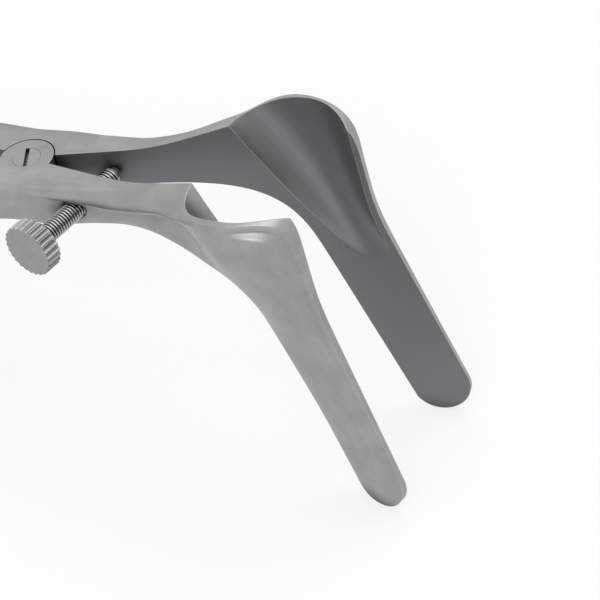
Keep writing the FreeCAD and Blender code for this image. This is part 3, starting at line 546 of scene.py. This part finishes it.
# Rows of the outer face: where it lies, fall of the rim, height of the band, then thickness at the edge, band and below
def armRows():
    start, reach, block, ledge, web = arm["neckStart"], arm["neckReach"], arm["barWidth"], arm["ledge"], arm["web"]
    heel, edge, tip = arm["heel"], arm["bladeEdge"], arm["tip"]
    end = arm["bladeDrop"] + 1.5
    rows = [(handleStation(x), 0.0, 0.9, outer - 0.75, outer, outer) for x, outer in zip(faceX, faceOuter)]
    return rows + [
        (neckStation(start), 0.0, 0.9, block + 0.15, block + 0.90, block + 0.90),
        (neckStation(start + 2.2), 0.0, 1.0, block - 0.30, block + 0.60, block + 0.60),
        (neckStation(start + 4.5), 0.0, 1.3, block - 0.85, block + 0.25, block + 0.20),
        (neckStation(start + 6.8), 0.0, 1.6, block - 1.55, block - 0.25, block - 0.75),
        (neckStation(start + 9.2), 0.0, 2.0, block - 2.05, block - 0.90, block - 1.90),
        (neckStation(start + 11.8), 0.0, 2.4, block - 2.60, block - 1.35, block - 2.90),
        (neckStation(start + 14.5), 0.0, 2.7, ledge - 1.75, ledge + 0.05, web),
        (topStation(0.08, reach - 28.8), 0.0, 2.8, ledge - 2.10, ledge - 0.05, web),
        (topStation(0.17, reach - 26.0), 0.0, 2.8, ledge - 2.50, ledge, web),
        (topStation(0.25, reach - 23.4), 0.0, 2.7, ledge - 2.55, ledge + 0.30, web),
        (topStation(0.32, reach - 21.0), 0.2, 2.4, ledge - 2.10, ledge + 0.90, web + 0.6),
        (topStation(0.38, reach - 18.8), 0.8, 2.0, ledge - 0.90, ledge + 1.60, heel),
        (topStation(0.43, reach - 16.4), 1.4, 1.5, shoulder - 2.60, shoulder - 1.45, heel),
        (topStation(0.48, reach - 13.6), 1.6, 1.2, shoulder - 0.85, shoulder - 0.40, heel),
        (rimStation(0.53, 10.4, 0.1), 1.4, 1.1, shoulder - 0.10, shoulder + 0.05, heel),
        (rimStation(0.58, 7.2, 0.3), 1.2, 1.3, shoulder - 0.70, shoulder - 0.10, heel),
        (rimStation(0.63, 4.0, 1.0), 0.6, 1.3, shoulder - 2.30, shoulder - 1.70, heel),
        (rimStation(0.68, 1.3, 2.2), 0.2, 1.2, shoulder - 4.40, shoulder - 3.80, heel - 0.2),
        (rimStation(0.73, 0.0, 4.6), 0.0, 1.0, edge + 0.70, edge + 1.30, heel - 0.4),
        (rimStation(0.79, 0.0, 8.4), 0.0, 0.9, edge + 0.20, edge + 0.80, heel - 0.7),
        (rimStation(0.86, 0.0, 13.0), 0.0, 0.9, edge, edge + 0.50, 2.6),
        (rimStation(0.94, 0.0, 18.0), 0.0, 0.9, edge, edge + 0.40, 2.2),
        (bladeStation(-23.0, -20.5), 0.0, 0.9, edge - 0.1, edge + 0.30, 1.9),
        (bladeStation(-28.5, -26.5), 0.0, 0.9, edge - 0.2, edge + 0.20, 1.75),
        (bladeStation(-34.5, -33.0), 0.0, 0.9, edge - 0.3, edge + 0.10, 1.6),
        (bladeStation(-41.0, -40.0), 0.0, 0.9, tip, tip + 0.25, tip + arm["tipCrown"]),
        (bladeStation(-end, 0.5 - end), 0.0, 0.9, tip, tip + 0.20, tip + arm["tipCrown"]),
    ]


# Thickness at the back edge: the handle's outer face, then read off places along the neck and the bend
def heelThickness(x):
    start, reach, block = arm["neckStart"], arm["neckReach"], arm["barWidth"]
    if x < start:
        return float(np.interp(x, faceX, faceOuter))
    return float(np.interp(x, [start, start + 4.5, start + 9.2, start + 12.6, reach - 30.4, reach - 28.6, reach - 17.3,
                               reach - 15.7, reach - 13.1, reach - 9.1, reach - 5.1, reach - 2.6],
                           [block + 0.90, block + 0.20, block - 1.90, 2.9, arm["web"], arm["web"], arm["heel"],
                            arm["heel"], 3.2, 2.0, 0.95, arm["tip"]]))


# Ten control points from the top edge to the back edge: rim, band, cove under it, web and heel.
# Where the shell is there, the height is the fourth root of the sum of both heights' fourth powers
def outerRow(station, fall, band, crest, ledgeHeight, web):
    back, front = station
    length = float(np.linalg.norm(front - back))
    downward = (back - front) / length
    heel = heelThickness(back[0])
    coveEnd = fall + band + min(arm["coveRun"], (length - fall - band) * 0.35)
    rest = length - coveEnd
    distances = [fall, fall + 0.3 * band, fall + 0.7 * band, fall + band, (fall + band + coveEnd) / 2,
                 coveEnd, coveEnd + 0.3 * rest, coveEnd + 0.6 * rest, length - 0.7, length]
    heights = [crest, crest + 0.55 * (ledgeHeight - crest), ledgeHeight, ledgeHeight,
               web + 0.15 * (ledgeHeight - web), web, web + 0.3 * (heel - web), web + 0.7 * (heel - web),
               heel, heel - 0.3 - 0.3 * float(eased((10.0 - back[0]) / 10.0))]
    poles = []
    for number, (far, height) in enumerate(zip(distances, heights)):
        x, z = front + downward * far
        if 3 < number < 9:
            height = (height ** 4 + shellHeight(x, z) ** 4) ** 0.25
        poles.append((x, height, z))
    return poles


# Inner face: the handle's near face, and the mating plane in front of the joint
def innerHeight(x):
    return float(np.interp(x, faceX, faceInner))


# Blank: weights along times control rows times weights across, closed by straight lines through the feet of both edges
def armBlank(outerPoles, stations):
    rows, columns, _ = outerPoles.shape
    along = cubicWeights(rows, np.linspace(0, rows - 3, (rows - 3) * arm["stepsAlong"] + 1))
    across = cubicWeights(columns, np.linspace(0, columns - 3, (columns - 3) * arm["stepsAcross"] + 1))
    outer = np.einsum("ar,rcx,bc->abx", along, outerPoles, across)
    backFeet = along @ np.array([(back[0], innerHeight(back[0]), back[1]) for back, front in stations])
    frontFeet = along @ np.array([(front[0], innerHeight(front[0]), front[1]) for back, front in stations])
    share = np.linspace(0, 1, arm["innerSteps"])[None, :, None]
    inner = backFeet[:, None] * (1 - share) + frontFeet[:, None] * share
    return np.concatenate([outer, inner], axis=1)[:, ::-1]


# Channel: the bowl's control rows, evened the same way and closed below the inner face
def scoopTool():
    poles = []
    for share in arm["scoopRows"]:
        z = arm["neckRise"] - share * arm["scoopLength"]
        back, deep = scoopBack(z), scoopDeep(z)
        width = scoopFront(z) - back
        soft = min(max(share, 0.0), 1.0)
        across = [0.02 - 0.12 * soft, 0.03 * soft - 0.01, 0.15 * soft, 0.16 + 0.10 * soft, 0.42, 0.68, 0.88, 0.99,
                  1.03]
        heights = [-1.5 * (1 - 0.75 * soft), deep * (0.10 - 0.08 * soft), deep * (0.62 - 0.42 * soft),
                   deep * (1.02 - 0.22 * soft), deep * 1.10, deep, deep * 0.55, deep * 0.08, -1.5]
        poles.append([(back + part * width, height, z) for part, height in zip(across, heights)])
    poles = np.array(poles)
    along = cubicWeights(len(poles), np.linspace(0, len(poles) - 3, 81))
    across = cubicWeights(poles.shape[1], np.linspace(0, poles.shape[1] - 3, 49))
    return roundMesh("channelTool", np.einsum("ar,rcx,bc->abx", along, poles, across))


# Rod: circles round a straight line
def rodTool(base, direction, radius, length, columns=96):
    direction = np.array(direction, float) / np.linalg.norm(direction)
    side = np.cross((0.0, 0.0, 1.0) if abs(direction[2]) < 0.9 else (1.0, 0.0, 0.0), direction)
    side /= np.linalg.norm(side)
    angle = np.linspace(0, 2 * np.pi, columns, endpoint=False)[:, None]
    ring = radius * (np.cos(angle) * side + np.sin(angle) * np.cross(direction, side))
    return roundMesh("rodTool", np.stack([base + ring, base + direction * length + ring]))


# What lies outside the round blade tip: a half circle through both edges and a frame beyond it, drawn through the blade
def tipTool():
    lean = math.radians((arm["frontLean"] + arm["backLean"]) / 2)
    drop = arm["bladeDrop"]
    radius = (frontEdge(-drop) - backEdge(-drop)) / 2 * math.cos(lean)
    for step in range(4):
        middleZ = radius - drop
        radius = (frontEdge(middleZ) - backEdge(middleZ)) / 2 * math.cos(lean)
    middle = np.array([(frontEdge(middleZ) + backEdge(middleZ)) / 2, radius - drop])
    side = np.array([math.cos(lean), math.sin(lean)])
    down = np.array([math.sin(lean), -math.cos(lean)])
    angle = np.linspace(0, np.pi, 41)[:, None]
    arc = middle - (radius + 0.05) * np.cos(angle) * side + radius * np.sin(angle) * down
    aside, below = side * 8, down * radius * 3
    beyond = [arc[-1] + aside, arc[-1] + aside + below, arc[0] - aside + below, arc[0] - aside]
    outline = np.concatenate([arc, beyond])
    rings = [np.stack([outline[:, 0], np.full(len(outline), level), outline[:, 1]], axis=-1) for level in (-1.0, 14.0)]
    return roundMesh("tipTool", np.stack(rings))


# One arm: the blank less its tip, channel, grip grooves and recess, with its lug, then its holes
def forgedArm(name, upperLug):
    upwards = (0, 0, 1)
    rows = armRows()
    outerPoles = np.array([outerRow(*row) for row in rows])
    blank = roundMesh(name, armBlank(outerPoles, [row[0] for row in rows]))
    steps = [("DIFFERENCE", tipTool()), ("DIFFERENCE", scoopTool())]
    line = cubicWeights(len(rows), np.linspace(0, len(rows) - 3, 900)) @ outerPoles[:, 5]
    order = np.argsort(line[:, 0])
    first, last = (share * arm["handleReach"] for share in arm["grooveShares"])
    for number in range(int((last - first) / arm["groovePitch"])):
        x = -first - number * arm["groovePitch"]
        y, ahead = np.interp([x, x + 0.1], line[order, 0], line[order, 1])
        outward = np.array([y - ahead, 0.1]) / math.hypot(y - ahead, 0.1)
        base = np.array([x, y]) + outward * (arm["grooveRadius"] - arm["grooveDepth"])
        steps.append(("DIFFERENCE", rodTool((base[0], base[1], -30.0), upwards, arm["grooveRadius"], 40.0, 24)))
    lap, bottom = -arm["barHeight"] / 2, -arm["barHeight"]
    low, high = (bottom - 5, lap - arm["lapGap"] / 2) if upperLug else (lap - arm["lapGap"] / 2, 5.0)
    steps.append(("DIFFERENCE", rodTool((0, 0, low), upwards, arm["lugRadius"] + arm["lugClearance"], high - low)))
    if upperLug:
        low, high = lap + arm["lapGap"] / 2, -arm["skin"]
    else:
        low, high = arm["skin"] - arm["barHeight"], lap - arm["lapGap"] / 2 - 0.01
    steps.append(("UNION", rodTool((0, 0, low), upwards, arm["lugRadius"], high - low)))
    steps.append(("DIFFERENCE", rodTool((0, 0, -10), upwards, arm["shankHole"], 20, 64)))
    if upperLug:
        lean = math.radians(arm["screwLean"])
        outside = (arm["screwReach"] - 20 * math.sin(lean), 20 * math.cos(lean), -arm["screwDrop"])
        steps.append(("DIFFERENCE", rodTool((0, 0, -arm["seatDepth"]), upwards, arm["seatRadius"], 5, 64)))
        steps.append(("DIFFERENCE", rodTool(outside, (math.sin(lean), -math.cos(lean), 0), arm["screwHole"], 40, 64)))
    return carved(blank, steps)


# The blank's mesh after each tool is cut from it or joined to it
def carved(blank, steps):
    for operation, tool in steps:
        change = blank.modifiers.new("carve", "BOOLEAN")
        change.operation = operation
        change.object = tool
        change.solver = "EXACT"
    bpy.context.view_layer.update()
    mesh = bpy.data.meshes.new_from_object(blank.evaluated_get(bpy.context.evaluated_depsgraph_get()))
    for spare in [blank] + [tool for operation, tool in steps]:
        bpy.data.objects.remove(spare)
    return mesh


# Into place: the arm's inner faces are marked, then it is mirrored if it is the screw's, turned open and moved
def placedArm(name, nodeName, body, upperLug):
    mesh = forgedArm(name + "Blank", upperLug)
    points = np.zeros(len(mesh.vertices) * 3)
    mesh.vertices.foreach_get("co", points)
    points = points.reshape(-1, 3)
    facing = np.zeros(len(mesh.polygons) * 3)
    mesh.polygons.foreach_get("normal", facing)
    # Faces turned towards the other arm are marked, for the steel's painted shade on them
    inside = mesh.attributes.new("innerFace", "FLOAT", "FACE")
    innerShadeShare = np.clip((-facing.reshape(-1, 3)[:, 1] - 0.1) / 0.45, 0, 1)
    inside.data.foreach_set("value", innerShadeShare.astype(np.float32))
    turn = math.radians(arm["halfOpening"])
    if upperLug:
        points[:, 1] *= -1
        turn = -turn
    turned = points.copy()
    turned[:, 0] = points[:, 0] * math.cos(turn) - points[:, 1] * math.sin(turn)
    turned[:, 1] = points[:, 0] * math.sin(turn) + points[:, 1] * math.cos(turn)
    mesh.vertices.foreach_set("co", fromJoint(turned).ravel())
    if upperLug:
        mesh.flip_normals()
    mesh.materials.clear()
    piece = finishedPiece(name, mesh)
    mesh.materials.append(armSteel)
    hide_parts(nodeName)
    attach(piece, body)
    print(name, len(mesh.polygons), "faces")


placedArm("forgedScrewArm", "screw_arm", "screw_side", True)
placedArm("forgedPlainArm", "plain_arm", "plain_side", False)


# Pivot screw: the turned solid, with its slot turned about its axis to where the driver left it
def turnedPivotScrew():
    mesh = frame["nodes"]["pivot_screw"].data.copy()
    mesh.name = "pivotScrewTurned"
    points = np.zeros(len(mesh.vertices) * 3)
    mesh.vertices.foreach_get("co", points)
    local = (points.reshape(-1, 3) / mm - pivotPoint) @ pivotFrame.T
    turn = math.radians(arm["slotTurn"])
    spin = np.array([[math.cos(turn), math.sin(turn), 0], [-math.sin(turn), math.cos(turn), 0], [0, 0, 1]])
    mesh.vertices.foreach_set("co", fromJoint(local @ spin).ravel())
    work = bmesh.new()
    work.from_mesh(mesh)
    bmesh.ops.remove_doubles(work, verts=work.verts[:], dist=weldDistance)
    work.to_mesh(mesh)
    work.free()
    ownNormals(mesh)
    piece = finishedPiece("pivotScrewTurned", mesh, arm["slotCrease"])
    mesh.materials.clear()
    mesh.materials.append(pivotSteel)
    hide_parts("pivot_screw")
    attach(piece, "plain_side")


turnedPivotScrew()
print("forged arms and the pivot screw")

# Set screw: a cut metric thread from the knob to the rounded tip

setScrew = {
    "length": 20.2,
    "radius": 1.5,
    "rootRadius": 1.16,
    "pitch": 0.5,
    "threadStart": 2.85,
    "threadEnd": 19.3,
    "ridgeWidth": 1.5,
    "ridgeSlope": 3.2,
    "fadeLength": 0.5,
    "tipRadius": 0.95,
    "neckRadius": 1.15,
    "neckStart": 1.85,
    "roundSteps": 40,
    "pitchSteps": 10,
}


# Radius of a helix: a rounded triangle wave of the height in pitches less the share of a turn, over a plain root
def threadedStem(values):
    steps = int((values["threadEnd"] - values["threadStart"]) / values["pitch"] * values["pitchSteps"])
    heights = np.linspace(values["threadStart"], values["threadEnd"], steps)[:, None]
    turns = np.linspace(0, 1, values["roundSteps"], endpoint=False)[None, :]
    phase = (heights / values["pitch"] - turns) % 1.0
    ridge = np.clip(values["ridgeWidth"] - np.abs(phase - 0.5) * values["ridgeSlope"], 0, 1)
    ridge = ridge * ridge * (3 - 2 * ridge)
    fade = np.clip((values["threadEnd"] - heights) / values["fadeLength"], 0, 1)
    radius = values["rootRadius"] + (values["radius"] - values["rootRadius"]) * ridge * (0.2 + 0.8 * fade)
    angle = turns * 2 * np.pi
    helix = np.stack([radius * np.cos(angle), radius * np.sin(angle), heights + 0 * angle], axis=-1)
    tip = np.linspace(0, np.pi / 2, 7)[1:, None]
    tipRound = (values["tipRadius"] + 0.12) * np.cos(tip) ** 0.5 + 0.02
    tipHeights = values["threadEnd"] + (values["length"] - values["threadEnd"]) * np.sin(tip)
    dome = np.stack([tipRound * np.cos(angle), tipRound * np.sin(angle), tipHeights + 0 * angle], axis=-1)
    neck = np.array([values["neckStart"], values["threadStart"] - 0.02])[:, None]
    shank = np.stack([values["neckRadius"] * np.cos(angle) + 0 * neck, values["neckRadius"] * np.sin(angle) + 0 * neck,
                      neck + 0 * angle], axis=-1)
    return aroundScrew(np.concatenate([shank, helix, dome]))


threadPiece = roundMesh("setScrewThread", threadedStem(setScrew))
threadPiece.data.materials.append(threadSteel)
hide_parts("set_screw_stem")
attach(threadPiece, "screw_stem")
print("set screw with its thread")

# Thumb knob: a flat disc with straight flutes cut into its rim

thumbKnob = {
    "radius": 4.13,
    "thickness": 2.7,
    "flutes": 26,
    "fluteRadius": 0.42,
    "fluteOffset": 0.1,
    "ridgeRound": 0.05,
    "chamfer": 0.14,
    "dish": 0.03,
    "hub": 1.45,
    "faceRings": (0.02, 1.4, 2.8),
    "columnsPerFlute": 14,
}


# Rim: the smaller of the turned profile's radius and the flute's circle, the corner between them rounded
def fluted(values, radius, angle):
    off = ((angle * values["flutes"] / (2 * np.pi)) % 1.0 - 0.5) * 2 * np.pi / values["flutes"]
    centre = values["radius"] + values["fluteOffset"]
    under = values["fluteRadius"] ** 2 - (centre * np.sin(off)) ** 2
    groove = np.where(under > 0, centre * np.cos(off) - np.sqrt(np.maximum(under, 0)), centre)
    spread = values["ridgeRound"]
    gap = np.clip((radius - groove) / spread, -1, 1)
    rounded = np.minimum(radius, groove) - spread * (1 - np.abs(gap)) ** 2 / 4
    return np.where(radius < centre - values["fluteRadius"] - spread, radius, rounded)


# Knob: the profile's rows of height and radius, each carried round the axis and fluted
def knobSurface(values):
    columns = values["flutes"] * values["columnsPerFlute"]
    angle = np.linspace(0, 2 * np.pi, columns, endpoint=False)[None, :]
    rim, thick, chamfer, dish = values["radius"], values["thickness"], values["chamfer"], values["dish"]
    rootRadius = rim + values["fluteOffset"] - values["fluteRadius"] - 0.06
    heights = np.array([0, 0, dish / 2, dish, dish, dish + chamfer * 0.3, dish + chamfer, dish + 2 * chamfer, thick / 2,
                        thick - 2 * chamfer, thick - chamfer, thick - chamfer * 0.3, thick, thick, thick])[:, None]
    radii = np.array([*values["faceRings"], rootRadius, rim - chamfer, rim - chamfer * 0.3, rim, rim,
                      rim, rim, rim, rim - chamfer * 0.3, rim - chamfer, rootRadius, values["hub"]])[:, None]
    radius = fluted(values, radii, angle)
    return aroundScrew(np.stack([radius * np.cos(angle), radius * np.sin(angle), heights + 0 * angle], axis=-1))


knobPiece = roundMesh("knurledThumbKnob", knobSurface(thumbKnob))
knobPiece.data.materials.append(knobSteel)
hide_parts("thumb_knob")
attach(knobPiece, "knob")
print("thumb knob with its flutes")

# Leaf springs: screwed down at the handle end, they bend towards each other's tip as the handles close; here each is
# the solid's leaf, sliced across and left where it lies

leafSprings = {
    "stations": 30,
    "clamped": 9.5,
    "pairs": (("screw_arm_spring", "screwArmLeaf", "screw_side", "plain_side"),
              ("plain_arm_spring", "plainArmLeaf", "plain_side", "screw_side")),
}


# Leaf: the solid's surface, merged and cut across at even stations
def bendingLeaf(nodeName, pieceName, rootBody, tipBody):
    forwards = pivotFrame[0]
    work = bmesh.new()
    work.from_mesh(frame["nodes"][nodeName].data)
    bmesh.ops.remove_doubles(work, verts=work.verts[:], dist=weldDistance)
    reach = np.array([vertex.co[:] for vertex in work.verts]) @ forwards
    for station in np.linspace(reach.min(), reach.max(), leafSprings["stations"] + 2)[1:-1]:
        bmesh.ops.bisect_plane(work, geom=work.verts[:] + work.edges[:] + work.faces[:], dist=weldDistance / 2,
                               plane_co=Vector(forwards * station), plane_no=Vector(forwards))
    mesh = bpy.data.meshes.new(pieceName)
    work.to_mesh(mesh)
    work.free()
    ownNormals(mesh)
    leaf = finishedPiece(pieceName, mesh)
    mesh.materials.clear()
    mesh.materials.append(springSteel)
    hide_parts(nodeName)
    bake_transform(leaf)


for pair in leafSprings["pairs"]:
    bendingLeaf(*pair)

# Floor and light: white all round, one broad lamp over the object and one beside the camera

studio = {
    "floorHalf": 12.0,
    "floorColour": (0.93, 0.93, 0.93, 1),
    "floorShown": 0.75,
    "skyLight": 0.72,
    "skyShown": 1.0,
    "lampsFace": (0.04, 0.0, 0.03),
    "lamps": (("overhead", (0.02, 0.25, 0.70), 0.6, 1.4),
              ("besideCamera", (0.15, -0.62, 0.60), 0.45, 1.5)),
}


# Share of camera, glossy and transmission rays, for the colour that they see
def seenRays(nodes, links):
    path = nodes.new("ShaderNodeLightPath")
    first = nodes.new("ShaderNodeMath")
    second = nodes.new("ShaderNodeMath")
    for made in (first, second):
        made.operation = "MAXIMUM"
    links.new(path.outputs["Is Camera Ray"], first.inputs[0])
    links.new(path.outputs["Is Glossy Ray"], first.inputs[1])
    links.new(first.outputs[0], second.inputs[0])
    links.new(path.outputs["Is Transmission Ray"], second.inputs[1])
    return second.outputs[0]


floorMesh = bpy.data.meshes.new("floor")
half = studio["floorHalf"]
floorMesh.from_pydata([(-half, -half, 0), (half, -half, 0), (half, half, 0), (-half, half, 0)], [], [(0, 1, 2, 3)])
floor = bpy.data.objects.new("floor", floorMesh)
bpy.context.scene.collection.objects.link(floor)
floorMaterial = bpy.data.materials.new("paleFloor")
floorMaterial.use_nodes = True
floorNodes, floorLinks = floorMaterial.node_tree.nodes, floorMaterial.node_tree.links
floorShader = floorNodes["Principled BSDF"]
floorShader.inputs["Base Color"].default_value = studio["floorColour"]
floorShader.inputs["Roughness"].default_value = 0.9
floorGlow = floorNodes.new("ShaderNodeEmission")
floorMix = floorNodes.new("ShaderNodeMixShader")
floorShare = floorNodes.new("ShaderNodeMath")
floorShare.operation = "MULTIPLY"
floorShare.inputs[1].default_value = studio["floorShown"]
floorLinks.new(seenRays(floorNodes, floorLinks), floorShare.inputs[0])
floorLinks.new(floorShare.outputs[0], floorMix.inputs[0])
floorLinks.new(floorShader.outputs[0], floorMix.inputs[1])
floorLinks.new(floorGlow.outputs[0], floorMix.inputs[2])
floorLinks.new(floorMix.outputs[0], floorNodes["Material Output"].inputs["Surface"])
floorMesh.materials.append(floorMaterial)

world = bpy.data.worlds.new("studio")
bpy.context.scene.world = world
world.use_nodes = True
worldNodes, worldLinks = world.node_tree.nodes, world.node_tree.links
worldStrength = worldNodes.new("ShaderNodeMapRange")
worldStrength.inputs["To Min"].default_value = studio["skyLight"]
worldStrength.inputs["To Max"].default_value = studio["skyShown"]
worldLinks.new(seenRays(worldNodes, worldLinks), worldStrength.inputs["Value"])
worldNodes["Background"].inputs["Color"].default_value = (1, 1, 1, 1)
worldLinks.new(worldStrength.outputs["Result"], worldNodes["Background"].inputs["Strength"])


# Square soft lamp that faces the middle of the object
def softLamp(name, place, width, watts):
    middle = Vector(studio["lampsFace"])
    lamp = bpy.data.lights.new(name, "AREA")
    lamp.shape = "SQUARE"
    lamp.size = width
    lamp.energy = watts
    light = bpy.data.objects.new(name, lamp)
    light.location = place
    light.rotation_euler = (middle - Vector(place)).to_track_quat("-Z", "Y").to_euler()
    light.visible_camera = False
    bpy.context.scene.collection.objects.link(light)


for lamp in studio["lamps"]:
    softLamp(*lamp)

# Camera: a very long lens at the photograph's angle, set by the joint's own axes

cameraLook = {
    "right": (0.8898, 0.3949, -0.2287),
    "up": (-0.0726, 0.6172, 0.7835),
    "rightOfPivot": 39.09,
    "underPivot": 20.40,
    "width": 0.08571,
    "lens": 1500.0,
}
right, above = (np.array(cameraLook[side]) @ pivotFrame for side in ("right", "up"))
back = np.cross(right, above)
aim = (pivotPoint + right * cameraLook["rightOfPivot"] - above * cameraLook["underPivot"]) * mm
cameraData = bpy.data.cameras.new("camera")
camera = bpy.data.objects.new("camera", cameraData)
bpy.context.scene.collection.objects.link(camera)
cameraData.lens = cameraLook["lens"]
distance = cameraLook["width"] * cameraLook["lens"] / cameraData.sensor_width
camera.location = Vector(aim + back * distance)
camera.rotation_euler = Matrix((right, above, back)).transposed().to_euler()
cameraData.clip_start = 0.1
cameraData.clip_end = 50.0
bpy.context.scene.camera = camera
bpy.context.scene.view_settings.view_transform = "Standard"
print("floor, light and camera")
